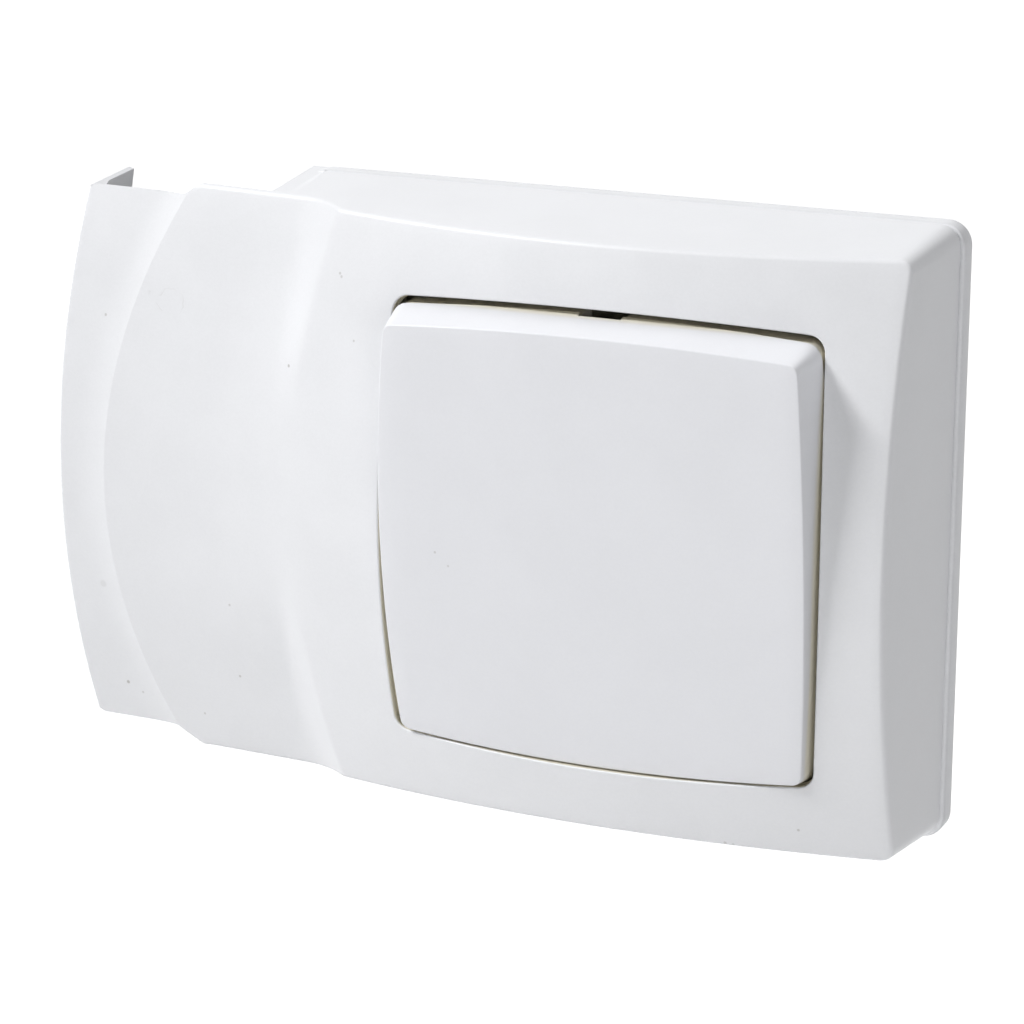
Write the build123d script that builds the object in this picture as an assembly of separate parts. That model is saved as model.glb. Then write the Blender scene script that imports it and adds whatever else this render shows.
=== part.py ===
from build123d import *
import math
import os

# Surface-mounted rocker light switch whose cover runs on as a bridge over wall trunking.
# It is modelled lying on its back: x to the right, y up the wall, z out of the wall, with z = 0
# on the wall and x = y = 0 at the middle of the square cover. WALL turns every piece upright.
WALL = Plane(origin=(0, 0, 0), x_dir=(1, 0, 0), z_dir=(0, -1, 0))

# Driving dimensions of the cover, in millimetres
COVER = 84.0               # side of the square cover, measured at the wall
HALF = COVER / 2
DRAFT = 0.10               # lean of the cover's walls per millimetre of height
DRAFT_DEG = math.degrees(math.atan(DRAFT))
COVER_WALL = 2.0           # wall of the moulding
SKIN = 1.8                 # front skin of the moulding
CORNER_R = 3.0             # upright corners
FRONT_EDGE = 0.6           # broken edge along the front
DOME_TOP = 29.0            # height of the domed front above the wall
DOME_R = 150.0             # radius of the dome, and of the bridge across it
BOX_LEFT = -53.5           # left wall of the box, hidden under the bridge
TALL = 40.0                # taller than any piece
WIDE = 60.0                # wider than the cover's half

# The bridge over the trunking: three levels, joined by two bowed and rounded steps
BRIDGE_TOP = 20.3          # height of the bridge beside the fold
BRIDGE_FALL = 0.08         # fall of the bridge towards the left, per millimetre
FLANGE_TOP = 16.6          # height of the end flange
FLANGE_HALF = 39.7         # half height of the end flange at the wall
FLANGE_DRAFT = 0.08
FOLD = (-47.9, 75.0)       # foot and radius of the sloping fold between cover and bridge
FOLD_SLOPE_DEG = 30.0
STEP = (-79.2, 49.0)       # foot and radius of the sloping step between bridge and flange
STEP_SLOPE_DEG = 30.0
END_X = -86.1              # middle of the bowed end wall
END_R = 244.0
END_LEAN = (0.0, 0.2)      # outer face of the end wall at its free edge and under the flange
END_WALL = (0.7, 1.6)      # inner face of the end wall at the same two places
END_CORNER = 0.8           # broken corners of the end wall
NOTCH_FOOT = (-68.4, 38.6)  # the bridge's edge steps out beyond the flange's edge
NOTCH_TOP = (-65.4, 41.0)

# The opening for the key, and the key
OPENING_HALF = 30.5        # half side at the corners
OPENING_BOW = 1.15         # each side bows out by this
OPENING_R = 2.4
COLLAR_WALL = 1.5          # collar behind the opening
COLLAR_BACK = 17.6
KEY_HALF = 28.87           # half side of the face at the corners
KEY_BOW = 1.12
KEY_R = 1.9
KEY_EDGE = 0.45            # broken edge of the face
KEY_TOP = 29.35            # middle of the face
KEY_DOME_R = 222.0
KEY_RIM = 27.1             # height of the face's edge
KEY_BACK = 17.0            # rear edge of the key
KEY_TAPER_DEG = 3.8
KEY_WALL = 1.8
REBATE = 0.35              # the rear edge of the key is set in by this
REBATE_DEEP = 1.7
PRY_NOTCH = 6.3            # width of the notch to pry the key off
THROW_DEG = 5.5            # tilt either side of the middle
PIVOT_Z = 15.0             # height of the key's pivot above the wall

# Rear base
RIM = 3.0                  # visible rim behind the cover
PARTING = 0.35             # groove between rim and cover
RIM_OVER = 0.25            # the rim stands out from the cover's wall by this
RIM_EDGE = 0.45            # broken edge of the rim
FLOOR = 2.4
POST_SPAN = 60.0           # centres of the two posts that carry the mechanism
POST_R = 4.0
SLOT_SPAN = 60.0           # centres of the two wall fixing slots
SLOT_W = 4.6
SLOT_L = 9.0
SIDE_ENTRY = 11.0          # half width of the cable's way in from the trunking
SIDE_ENTRY_TOP = 11.5
REAR_ENTRY_X = (-47.0, -36.0)   # the cable's way in through the floor
REAR_ENTRY_Y = (-34.0, -16.0)

# Mechanism
CARRIER = 70.0             # side of the carrier plate
CARRIER_BACK = 11.4
CARRIER_T = 1.8
CARRIER_FRONT = CARRIER_BACK + CARRIER_T
ARM_X = 20.0               # snap arms of the cover, which hook behind the carrier
ARM_W = 8.0
ARM_T = 1.6
ARM_GAP = 0.5
ARM_ROOT = 21.0
HOUSING = (42.0, 36.0)     # outer width and height of the switch housing
HOUSING_BACK = 3.0
HOUSING_FRONT = 11.2
HOUSING_WALL = 1.2
BRACKET_T = 1.5
EAR_X = 13.3               # inner face of each bearing ear
EAR_T = 3.0
TRUNNION_R = 1.5
RUNNING_FIT = 0.05         # radial clearance of pins in their bores
HOOK_X = 4.0               # half width of the hooks that hold housing, carrier and bracket together
HOOK_NOSE = 0.9
HOOK_GAP = 0.3
SEESAW_Z = 8.4             # axis of the contact see-saw
SEESAW_THROW_DEG = 7.5
SEESAW_T = 0.8
SEESAW_W = 5.0
SEESAW_HALF = 12.6
BEAD_R = 0.9
CONTACT_Y = 11.0
CONTACT = 2.6              # side of a contact pad
STRIP_T = 0.8
STRIP_BACK = 4.4
PLUNGER_R = 2.0
PLUNGER_TIP = 9.0
PLUNGER_TOP = 14.0
BORE_TOP = 19.0
CAGE = (5.6, 6.6, 5.4)     # terminal cage: width, height up the wall, depth
CAGE_WALL = 0.9
CAGE_BACK = 5.4
CAGE_X = 15.4
CLAMP_Z = CAGE_BACK + CAGE[2] / 2
CLAMP_R = 1.2
# Terminals: middle of the cage in x and y, and the side from which the wire comes
TERMINALS = [(-CAGE_X, 0.0, 1), (CAGE_X, 8.0, 1), (CAGE_X, -8.0, -1)]
TAB_X = 13.6               # inner face of the tab that each cage grips
TAB_IN = (6.5, 9.7)        # height of the tab's finger above the wall
LEG_X = 7.0                # snap legs of the key, and their slots in the cradle
LEG_Y = 11.0
CRADLE_BACK = 18.4
CRADLE_FRONT = 20.4


def block(x0, x1, y0, y1, z0, z1):
    """A plain rectangular block between two corners."""
    return Pos((x0 + x1) / 2, (y0 + y1) / 2, (z0 + z1) / 2) * Box(x1 - x0, y1 - y0, z1 - z0)


def rod(radius, z0, z1, x=0.0, y=0.0):
    """A round rod standing out of the wall."""
    return Pos(x, y, (z0 + z1) / 2) * Cylinder(radius, z1 - z0)


def ball(radius, top, drop=0.0):
    """A ball with its crest at the given height, or the same ball less a skin."""
    return Pos(0, 0, top - radius) * Rot(90, 0, 0) * Sphere(radius - drop)


def cross_rod(radius, x0, x1, y, z):
    """A round rod lying along x."""
    return Pos((x0 + x1) / 2, y, z) * Rot(0, 90, 0) * Cylinder(radius, x1 - x0)


def screw_rod(radius, length):
    """A length of a small screw along z, drawn with twelve flats."""
    return extrude(RegularPolygon(radius, 12), amount=length)


def bowed_square(half, bow, corner_r):
    """A square whose four sides bow out, with rounded corners, or plain ones for a radius of 0."""
    corners = [(half, half), (-half, half), (-half, -half), (half, -half)]
    middles = [(0, half + bow), (-half - bow, 0), (0, -half - bow), (half + bow, 0)]
    sides = []
    for i, middle in enumerate(middles):
        sides.append(ThreePointArc(corners[i], middle, corners[(i + 1) % 4]))
    face = make_face(sides)
    return fillet(face.vertices(), corner_r) if corner_r else face


def right_of_arc(foot, slope_deg, height, drop):
    """All that lies to the right of a bowed ramp, or `drop` millimetres behind the ramp's surface."""
    middle_x, radius = foot
    middle_x += drop / math.sin(math.radians(slope_deg))
    half = HALF + 0.5
    end_x = middle_x + radius - math.sqrt(radius ** 2 - half ** 2)
    far_x = 4 * WIDE
    arc = ThreePointArc((end_x, half), (middle_x, 0), (end_x, -half))
    sides = Polyline((end_x, -half), (far_x, -half), (far_x, half), (end_x, half))
    lean = Vector(1 / math.tan(math.radians(slope_deg)), 0, 1)
    ramp = extrude(make_face([arc, sides]), amount=2 * TALL * lean.length, dir=lean)
    return Pos(0, 0, height) * Pos(*(lean * -TALL)) * ramp


def across(radius, top, middle_x=0.0, lean_deg=0.0):
    """A long round bar across the cover, its crest at the given height."""
    bar = Pos(0, 0, -DOME_R) * Rot(0, 90, 0) * Cylinder(radius, 8 * WIDE)
    return Pos(middle_x, 0, top) * Rot(0, -lean_deg, 0) * bar


def under_front(drop):
    """All the space behind the cover's front, `drop` millimetres under its surface."""
    reach = block(END_X - 10, WIDE, -HALF, HALF, -TALL / 2, TALL)
    radius = DOME_R - drop
    dome = reach & ball(DOME_R, DOME_TOP, drop) & right_of_arc(FOLD, FOLD_SLOPE_DEG, BRIDGE_TOP, drop)
    bridge = across(radius, BRIDGE_TOP, FOLD[0], math.degrees(math.atan(BRIDGE_FALL)))
    bridge = reach & bridge & right_of_arc(STEP, STEP_SLOPE_DEG, FLANGE_TOP, drop)
    bridge = bridge & block(END_X - 10, FOLD[0] + 20, -WIDE, WIDE, -TALL, TALL)
    flange = reach & across(radius, FLANGE_TOP) & block(END_X - 10, STEP[0] + 30, -WIDE, WIDE, -TALL, TALL)
    return dome + bridge + flange


def leaning_walls(half_x, half_y, middle_x, corner_r, lean_deg):
    """A tall block whose four walls lean inwards from its footprint on the wall."""
    size = (half_x * 2, half_y * 2)
    foot = RectangleRounded(*size, corner_r) if corner_r else Rectangle(*size)
    return Pos(middle_x, 0, 0) * extrude(foot, amount=TALL, taper=lean_deg)


def left_end(thin, thick):
    """All that lies to the right of the bowed end wall, set in by its thickness at the wall and above."""
    rise = (thick - thin) * TALL / FLANGE_TOP
    return Pos(END_X + END_R, 0, TALL / 2) * Cone(END_R - thin, END_R - thin - rise, TALL)


def front_outline(solid):
    """The edges where the front of cover and bridge meets the outer walls, right of the notches."""
    def on_outline(edge):
        c = edge.center()
        level = abs(edge.tangent_at(0.5).Z) < 0.7
        near_wall = abs(c.Y) > FLANGE_HALF - 4 or c.X > HALF - 6
        return level and near_wall and c.X > NOTCH_TOP[0] and c.Z > RIM
    return solid.edges().filter_by(on_outline)


def front_frame():
    """One-piece cover: domed square front, bridge, end wall, box walls, collar and snap arms."""
    long_half = 90.0
    main = leaning_walls(long_half, HALF, HALF - long_half, CORNER_R, DRAFT_DEG)
    half_plan = [NOTCH_FOOT, NOTCH_TOP, (NOTCH_TOP[0], WIDE), (WIDE, WIDE)]
    plan = Polyline(*half_plan, *[(x, -y) for x, y in reversed(half_plan)], close=True)
    main = main & extrude(make_face(plan), amount=TALL)
    flange = leaning_walls(long_half, FLANGE_HALF, 0, CORNER_R, math.degrees(math.atan(FLANGE_DRAFT)))
    flange = flange & left_end(*END_LEAN) & block(END_X - 10, NOTCH_TOP[0], -WIDE, WIDE, 0, TALL)
    corners = flange.edges().filter_by(lambda e: e.center().X < STEP[0] and abs(e.center().Y) > HALF - 8
                                       and abs(e.tangent_at(0.5).Z) > 0.9)
    flange = chamfer(corners, END_CORNER)
    body = (main + flange) & under_front(0)
    body = chamfer(front_outline(body), FRONT_EDGE)

    inside = under_front(SKIN)
    clear = HALF - COVER_WALL
    room = leaning_walls(long_half, clear, clear - long_half, 0, DRAFT_DEG)
    room = room & block(BOX_LEFT + COVER_WALL, WIDE, -WIDE, WIDE, 0, TALL) & inside
    channel = left_end(*END_WALL) & block(END_X, BOX_LEFT, -WIDE, WIDE, 0, TALL) & inside
    body = body - room - channel
    body = body - block(BOX_LEFT, WIDE, -WIDE, WIDE, -1, RIM + PARTING)

    around = bowed_square(OPENING_HALF + COLLAR_WALL, OPENING_BOW, OPENING_R + COLLAR_WALL)
    collar = Pos(0, 0, COLLAR_BACK) * extrude(around, amount=TALL)
    body = body + (collar & under_front(SKIN / 2))
    arm_y = CARRIER / 2 + ARM_GAP
    for x in (-ARM_X, ARM_X):
        x0, x1 = x - ARM_W / 2, x + ARM_W / 2
        arm = block(x0, x1, arm_y, arm_y + ARM_T, CARRIER_BACK - 1.4, ARM_ROOT)
        nose = block(x0, x1, arm_y - 1.0, arm_y + 0.1, CARRIER_BACK - 1.4, CARRIER_BACK - 0.3)
        hook = arm + nose
        body = body + hook + mirror(hook, about=Plane.XZ)
    opening = bowed_square(OPENING_HALF, OPENING_BOW, OPENING_R)
    body = body - extrude(opening, amount=TALL)
    return body - block(BOX_LEFT - 1, BOX_LEFT + COVER_WALL + 1, -SIDE_ENTRY, SIDE_ENTRY, -1, SIDE_ENTRY_TOP)


def wall_base():
    """Rear base: floor with fixing slots and a cable entry, a rounded rim, an inner wall and two posts."""
    wide = HALF - BOX_LEFT
    middle = (HALF + BOX_LEFT) / 2
    foot = RectangleRounded(wide + RIM_OVER, COVER + 2 * RIM_OVER, CORNER_R + RIM_OVER)
    body = Pos(middle + RIM_OVER / 2, 0, 0) * extrude(foot, amount=RIM)
    body = chamfer(body.edges().group_by(Axis.Z)[-1], RIM_EDGE)
    inset = COVER_WALL + RIM * DRAFT + 0.5
    room = Rectangle(wide - 2 * inset, COVER - 2 * inset)
    upstand = Pos(middle, 0, FLOOR) * extrude(room, amount=RIM + 3.0 - FLOOR, taper=DRAFT_DEG)
    body = body + upstand
    hollow = Rectangle(wide - 2 * inset - 3.4, COVER - 2 * inset - 3.4)
    body = body - Pos(middle, 0, FLOOR) * extrude(hollow, amount=TALL)
    for side in (-1, 1):
        x = side * POST_SPAN / 2
        body = body + rod(POST_R, FLOOR / 2, CARRIER_BACK, x)
        for y in (-1, 1):
            rib = block(x - 0.7, x + 0.7, min(0, y * 8), max(0, y * 8), FLOOR / 2, 8)
            body = body + rib
        body = body - rod(CLAMP_R + 0.3, FLOOR + 1, CARRIER_BACK + 1, x)
        slot = SlotOverall(SLOT_L, SLOT_W, rotation=90)
        body = body - Pos(0, side * SLOT_SPAN / 2, -1) * extrude(slot, amount=RIM + 2)
    body = body - block(*REAR_ENTRY_X, *REAR_ENTRY_Y, -1, RIM + 1)
    gap = SIDE_ENTRY - 0.5
    return body - block(BOX_LEFT - 1, BOX_LEFT + 8, -gap, gap, RIM, TALL)


def carrier_plate():
    """Square carrier plate with the mechanism's window, screw slots and corner cut-outs."""
    plate = Pos(0, 0, CARRIER_BACK) * extrude(RectangleRounded(CARRIER, CARRIER, 5), amount=CARRIER_T)
    plate = plate - Pos(0, 0, CARRIER_BACK) * Box(26.8, 25.6, TALL)
    for side in (-1, 1):
        plate = plate - Pos(side * POST_SPAN / 2, 0, CARRIER_BACK) * Box(3.6, 9.0, TALL)
        plate = plate - hook_slot(side)
        for up in (-1, 1):
            plate = plate - Pos(side * ARM_X, up * 28.5, CARRIER_BACK) * Box(12, 6, TALL)
    return plate


def hook_slot(up):
    """The room that one hook of the housing takes in the plates in front of it."""
    y0, y1 = sorted(up * (HOUSING[1] / 2 - t) for t in (HOUSING_WALL + HOOK_GAP, -HOOK_GAP))
    return block(-HOOK_X - HOOK_GAP, HOOK_X + HOOK_GAP, y0, y1, 0, TALL)


def hook(up):
    """A flat hook that carries on the housing's wall and grips the bracket's front."""
    outer = HOUSING[1] / 2
    front = CARRIER_FRONT + BRACKET_T
    y0, y1 = sorted((up * outer, up * (outer - HOUSING_WALL)))
    arm = block(-HOOK_X, HOOK_X, y0, y1, HOUSING_FRONT - 1, front + 1.0)
    y0, y1 = sorted((up * (outer - HOUSING_WALL), up * (outer - HOUSING_WALL - HOOK_NOSE)))
    return arm + block(-HOOK_X, HOOK_X, y0, y1, front + 0.1, front + 1.0)


def switch_housing():
    """Moulded housing, open at the front, with notches for the clamp screws, wire windows and two hooks."""
    wide, high = HOUSING
    deep = HOUSING_FRONT - HOUSING_BACK
    shell = Pos(0, 0, HOUSING_BACK) * extrude(RectangleRounded(wide, high, 2.5), amount=deep)
    room = Rectangle(wide - 2 * HOUSING_WALL, high - 2 * HOUSING_WALL)
    body = shell - Pos(0, 0, HOUSING_BACK + HOUSING_WALL) * extrude(room, amount=TALL)
    for x, y, up in TERMINALS:
        x0, x1 = sorted((x, math.copysign(wide, x)))
        body = body - block(x0, x1, y - 2.4, y + 2.4, CLAMP_Z - 2.4, TALL)
        y0, y1 = sorted((0, up * high))
        body = body - block(x - 1.7, x + 1.7, y0, y1, CLAMP_Z - 1.7, CLAMP_Z + 1.7)
    return body + hook(1) + hook(-1)


def pivot_bracket():
    """Front plate of the mechanism with the two bearing ears of the cradle."""
    plate = Pos(0, 0, CARRIER_FRONT) * extrude(RectangleRounded(41, 35, 2.5), amount=BRACKET_T)
    plate = plate - Pos(0, 0, CARRIER_FRONT) * Box(26.6, 25, TALL)
    top = PIVOT_Z + 2.6
    for side in (-1, 1):
        x = side * (EAR_X + EAR_T / 2)
        ear = block(x - EAR_T / 2, x + EAR_T / 2, -3.2, 3.2, CARRIER_FRONT, top)
        plate = plate + chamfer(ear.edges().group_by(Axis.Z)[-1].filter_by(Axis.X), 1.4)
        plate = plate - cross_rod(TRUNNION_R + RUNNING_FIT, x - EAR_T, x + EAR_T, 0, PIVOT_Z)
        plate = plate - hook_slot(side)
    return plate


def tilted(shape, angle_deg=THROW_DEG, height=PIVOT_Z):
    """Turn a piece about the line along x at the given height, top edge out for a positive angle."""
    return Pos(0, 0, height) * Rot(angle_deg, 0, 0) * Pos(0, 0, -height) * shape


def key_block(inset, back, top_drop):
    """The key's outer form, or the same set in by a wall."""
    down = KEY_RIM - back
    half = KEY_HALF - inset + down * math.tan(math.radians(KEY_TAPER_DEG))
    foot = bowed_square(half, KEY_BOW, 0 if inset else KEY_R)
    sides = Pos(0, 0, back) * extrude(foot, amount=TALL - back, taper=KEY_TAPER_DEG)
    return sides & ball(KEY_DOME_R, KEY_TOP, top_drop)


def rocker_key():
    """The key: a domed, bowed square cap with ribs and four snap legs inside."""
    body = key_block(0, KEY_BACK, 0)
    face_edges = body.edges().filter_by(lambda e: e.center().Z > KEY_RIM - 4 and e.length > 0.5)
    body = chamfer(face_edges, KEY_EDGE)
    body = body - key_block(KEY_WALL, KEY_BACK - 1, KEY_WALL)
    half = KEY_HALF + (KEY_RIM - KEY_BACK) * math.tan(math.radians(KEY_TAPER_DEG))
    keep = bowed_square(half - REBATE, KEY_BOW, KEY_R)
    around = Rectangle(COVER, COVER) - keep
    body = body - Pos(0, 0, KEY_BACK - 1) * extrude(around, amount=REBATE_DEEP + 1)
    for up in (-1, 1):
        y = up * (half + KEY_BOW)
        notch = block(-PRY_NOTCH / 2, PRY_NOTCH / 2, y - 4, y + 4, KEY_BACK - 1, KEY_BACK + REBATE_DEEP)
        body = body - notch
    inner = key_block(KEY_WALL / 2, KEY_BACK - 1, KEY_WALL / 2)
    for x in (-13.0, 13.0):
        rib = block(x - 0.6, x + 0.6, -28, 28, 22.0, 30)
        body = body + (rib & inner)
    for x in (-LEG_X, LEG_X):
        for y in (-LEG_Y, LEG_Y):
            out = math.copysign(1, y)
            leg = block(x - 2.0, x + 2.0, y - 0.7, y + 0.7, 16.9, 30)
            y_nose = y + out * 0.9
            leg = leg + block(x - 2.0, x + 2.0, y_nose - 0.45, y_nose + 0.45, 16.9, CRADLE_BACK - 0.2)
            body = body + (leg & inner)
    return tilted(body)


def rocker_cradle():
    """Tilting cradle: plate with leg slots, two cheeks with trunnions, and the plunger's square sleeve."""
    plate = block(-17, 17, -14, 14, CRADLE_BACK, CRADLE_FRONT)
    tube = PLUNGER_R + 1.2
    body = plate + block(-tube, tube, -tube, tube, 11.2, CRADLE_FRONT)
    for side in (-1, 1):
        x0, x1 = sorted((side * 11.6, side * 13.0))
        cheek = block(x0, x1, -3.0, 3.0, PIVOT_Z - 2.4, CRADLE_BACK + 0.5)
        x0, x1 = sorted((side * 12.0, side * (EAR_X + EAR_T - 0.2)))
        body = body + cheek + cross_rod(TRUNNION_R, x0, x1, 0, PIVOT_Z)
        web_x0, web_x1 = sorted((side * 3.0, side * 12.0))
        body = body + block(web_x0, web_x1, -0.7, 0.7, PIVOT_Z, CRADLE_BACK + 0.5)
        for up in (-1, 1):
            x, y = side * LEG_X, up * LEG_Y
            body = body - block(x - 2.2, x + 2.2, y - 1.0, y + 1.0, CRADLE_BACK - 1, CRADLE_FRONT + 1)
    body = body - rod(PLUNGER_R + RUNNING_FIT, 0, BORE_TOP)
    return tilted(body)


def plunger():
    """Plunger with a stepped nose that presses on the see-saw."""
    nose = 2.6
    body = rod(PLUNGER_R, PLUNGER_TIP + nose, PLUNGER_TOP)
    return tilted(body + rod(0.8, PLUNGER_TIP, PLUNGER_TIP + nose))


def plunger_spring():
    """Coil spring between the plunger and the end of its bore, of square wire with twelve bends a turn."""
    wire = 0.36
    coil_r = 1.5
    turns = 3.5
    low = PLUNGER_TOP + wire / 2 + 0.08
    rise = BORE_TOP - PLUNGER_TOP - wire - 0.16
    bends = []
    for i in range(round(12 * turns) + 1):
        angle = math.radians(30 * i)
        bends.append((coil_r * math.cos(angle), coil_r * math.sin(angle), low + rise * i / (12 * turns)))
    path = Polyline(*bends)
    section = Plane(origin=path @ 0, z_dir=path % 0) * Rectangle(wire, wire)
    return tilted(sweep(section, path=path, transition=Transition.RIGHT))


def contact_seesaw():
    """Contact strip with a rolled bead on its rocking axis."""
    back, front = SEESAW_Z - SEESAW_T / 2, SEESAW_Z + SEESAW_T / 2
    strip = block(-SEESAW_W / 2, SEESAW_W / 2, -SEESAW_HALF, SEESAW_HALF, back, front)
    strip = strip + cross_rod(BEAD_R, -SEESAW_W / 2, SEESAW_W / 2, 0, SEESAW_Z)
    flat_top = block(-SEESAW_W, SEESAW_W, -2, 2, front, SEESAW_Z + 2)
    return tilted(strip - flat_top, -SEESAW_THROW_DEG, SEESAW_Z)


def contact_pads(back, front):
    """Two square contact pads, one above the other."""
    half = CONTACT / 2
    return [block(-half, half, y - half, y + half, back, front) for y in (-CONTACT_Y, CONTACT_Y)]


def moving_contacts():
    """Contact pads under the ends of the see-saw."""
    under = SEESAW_Z - SEESAW_T / 2
    return [tilted(pad, -SEESAW_THROW_DEG, SEESAW_Z) for pad in contact_pads(under - 0.7, under)]


def fixed_contacts():
    """Contact pads on the way strips."""
    top = STRIP_BACK + STRIP_T
    return contact_pads(top, top + 0.4)


def tab(side, y_cage, up):
    """Upright tab of a strip with a finger that reaches into the cage."""
    x0, x1 = sorted((side * TAB_X, side * (TAB_X + STRIP_T)))
    near = y_cage + up * (CAGE[1] / 2 + 0.3)
    far = near + up * 1.4
    stem = block(x0, x1, min(near, far), max(near, far), STRIP_BACK, TAB_IN[1])
    tip = y_cage - up * (CAGE[1] / 2 - 0.6)
    finger = block(x0, x1, min(tip, far), max(tip, far), TAB_IN[0], TAB_IN[1])
    return stem + finger, far


def common_strip():
    """Common conductor: a flat strip with the saddle of the see-saw and a terminal tab."""
    x, y, up = TERMINALS[0]
    upright, far = tab(-1, y, up)
    strip = block(-TAB_X - STRIP_T, 2.5, -2.5, 2.5, STRIP_BACK, STRIP_BACK + STRIP_T)
    strip = strip + block(-TAB_X - STRIP_T, -TAB_X + 1.6, -2.5, far, STRIP_BACK, STRIP_BACK + STRIP_T)
    saddle = block(-2.5, 2.5, -1.5, 1.5, STRIP_BACK, SEESAW_Z - 0.8)
    saddle = saddle - cross_rod(BEAD_R + 0.08, -4, 4, 0, SEESAW_Z)
    return strip + upright + saddle


def way_strip(up):
    """Conductor of one way: a flat strip under the fixed contact and a terminal tab."""
    upright, far = tab(1, up * TERMINALS[1][1], up)
    y0, y1 = sorted((up * 9.0, far))
    return block(-2.5, TAB_X + STRIP_T, y0, y1, STRIP_BACK, STRIP_BACK + STRIP_T) + upright


def cage(x, y):
    """Terminal cage: a folded loop round the tab with a threaded hole in its outer wall."""
    wide, high, deep = CAGE
    outer = block(x - wide / 2, x + wide / 2, y - high / 2, y + high / 2, CAGE_BACK, CAGE_BACK + deep)
    inner = block(x - wide / 2 + CAGE_WALL, x + wide / 2 - CAGE_WALL, y - high, y + high,
                  CAGE_BACK + CAGE_WALL, CAGE_BACK + deep - CAGE_WALL)
    side = math.copysign(1, x)
    hole = Pos(x, y, CLAMP_Z) * Rot(0, side * 90, 0) * screw_rod(CLAMP_R + RUNNING_FIT, wide)
    return outer - inner - hole


def clamp_screws():
    """Three slotted terminal screws."""
    screws = []
    for x, y, up in TERMINALS:
        side = math.copysign(1, x)
        tip, neck, face = abs(x) + 0.6, 18.9, 20.8
        screw = Pos(0, 0, tip) * screw_rod(CLAMP_R, neck - tip)
        screw = screw + Pos(0, 0, neck) * screw_rod(2.1, face - neck)
        screw = screw - block(-0.3, 0.3, -3, 3, face - 0.8, face + 1)
        screws.append(Pos(0, y, CLAMP_Z) * Rot(0, side * 90, 0) * screw)
    return screws


def carrier_screws():
    """Two slotted cheese-head screws from the carrier into the base's posts."""
    screws = []
    for side in (-1, 1):
        x = side * POST_SPAN / 2
        head = Pos(0, 0, CARRIER_FRONT) * screw_rod(3.0, 1.6)
        shank = Pos(0, 0, FLOOR + 2) * screw_rod(CLAMP_R + 0.25, CARRIER_FRONT - FLOOR - 2)
        slot = block(-4, 4, -0.4, 0.4, CARRIER_FRONT + 0.7, CARRIER_FRONT + 3)
        screws.append(Pos(x, 0, 0) * (head + shank - slot))
    return screws


PIECES = {
    "wall_base": wall_base(),
    "front_frame": front_frame(),
    "rocker_key": rocker_key(),
    "rocker_cradle": rocker_cradle(),
    "plunger": plunger(),
    "plunger_spring": plunger_spring(),
    "carrier_plate": carrier_plate(),
    "carrier_screws": carrier_screws(),
    "pivot_bracket": pivot_bracket(),
    "switch_housing": switch_housing(),
    "contact_seesaw": contact_seesaw(),
    "moving_contacts": moving_contacts(),
    "fixed_contacts": fixed_contacts(),
    "common_strip": common_strip(),
    "way_one_strip": way_strip(1),
    "way_two_strip": way_strip(-1),
    "common_cage": cage(*TERMINALS[0][:2]),
    "way_one_cage": cage(*TERMINALS[1][:2]),
    "way_two_cage": cage(*TERMINALS[2][:2]),
    "clamp_screws": clamp_screws(),
}

os.makedirs("parts", exist_ok=True)
for name, shape in PIECES.items():
    solids = shape if isinstance(shape, list) else [shape]
    upright = [WALL.location * solid for solid in solids]
    export_step(upright[0] if len(upright) == 1 else Compound(children=upright), f"parts/{name}.step")
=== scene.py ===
"""Looks of a white surface-mounted rocker light switch with a bridge over wall trunking."""
import math

import bmesh
import bpy
from mathutils import Matrix, Vector


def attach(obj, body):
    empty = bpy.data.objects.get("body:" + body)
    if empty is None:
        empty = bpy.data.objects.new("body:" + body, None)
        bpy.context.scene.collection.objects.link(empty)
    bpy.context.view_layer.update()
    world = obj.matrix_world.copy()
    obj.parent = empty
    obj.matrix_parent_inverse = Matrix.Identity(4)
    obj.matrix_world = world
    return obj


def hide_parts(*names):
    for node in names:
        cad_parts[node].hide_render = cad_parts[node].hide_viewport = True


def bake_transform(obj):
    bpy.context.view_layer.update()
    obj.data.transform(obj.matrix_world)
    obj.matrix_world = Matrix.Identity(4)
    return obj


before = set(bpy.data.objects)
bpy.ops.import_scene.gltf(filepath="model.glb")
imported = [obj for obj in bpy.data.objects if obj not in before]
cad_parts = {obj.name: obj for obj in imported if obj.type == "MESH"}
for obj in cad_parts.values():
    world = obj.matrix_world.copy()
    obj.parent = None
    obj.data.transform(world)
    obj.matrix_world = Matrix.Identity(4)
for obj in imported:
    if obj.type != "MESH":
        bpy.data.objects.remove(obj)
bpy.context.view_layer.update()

# Front cover: one injection-moulded piece of white satin plastic. Its domed square front has a bowed
# opening for the key; on the left it steps down softly to a bridge and an end wall that close over the
# wall trunking. Snap arms inside hold it to the carrier plate.
MM = 0.001
SIDE_STEPS = 56
CORNER_STEPS = 8
SETTLE_ROUNDS = 6
SKIN = 1.7
SEAM = -39.4
BOX_LEFT = -53.5
DOME_TOP = 28.8
DOME_ACROSS = 344.0
DOME_UP = 270.0
BOW_HALF = 40.0
FOLD_FOOT = (-48.8, 1.5)
FOLD_TOP = (-40.8, 5.4)
TANGENT_X = -46.2
TANGENT_OUT = 22.6
TANGENT_SLOPE = 0.2686
TANGENT_CURVE = 0.0035
PLATEAU_X = -44.3
PLATEAU_OUT = 20.3
PLATEAU_SLOPE = 0.08
PLATEAU_START = 8.0
PLATEAU_BLEND = 24.0
CREST_LEFT = -78.3
CREST_MIDDLE = -2.5
CREST_BOW = 150.0
STEP_WIDTH = 5.0
FLANGE_X = -86.0
FLANGE_OUT = 16.6
FLANGE_SLOPE = 0.05


def at(x, y, out):
    """A place on the switch in millimetres: x to the right, y up the wall, out from the wall."""
    return Vector((x * MM, -out * MM, y * MM))


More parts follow.
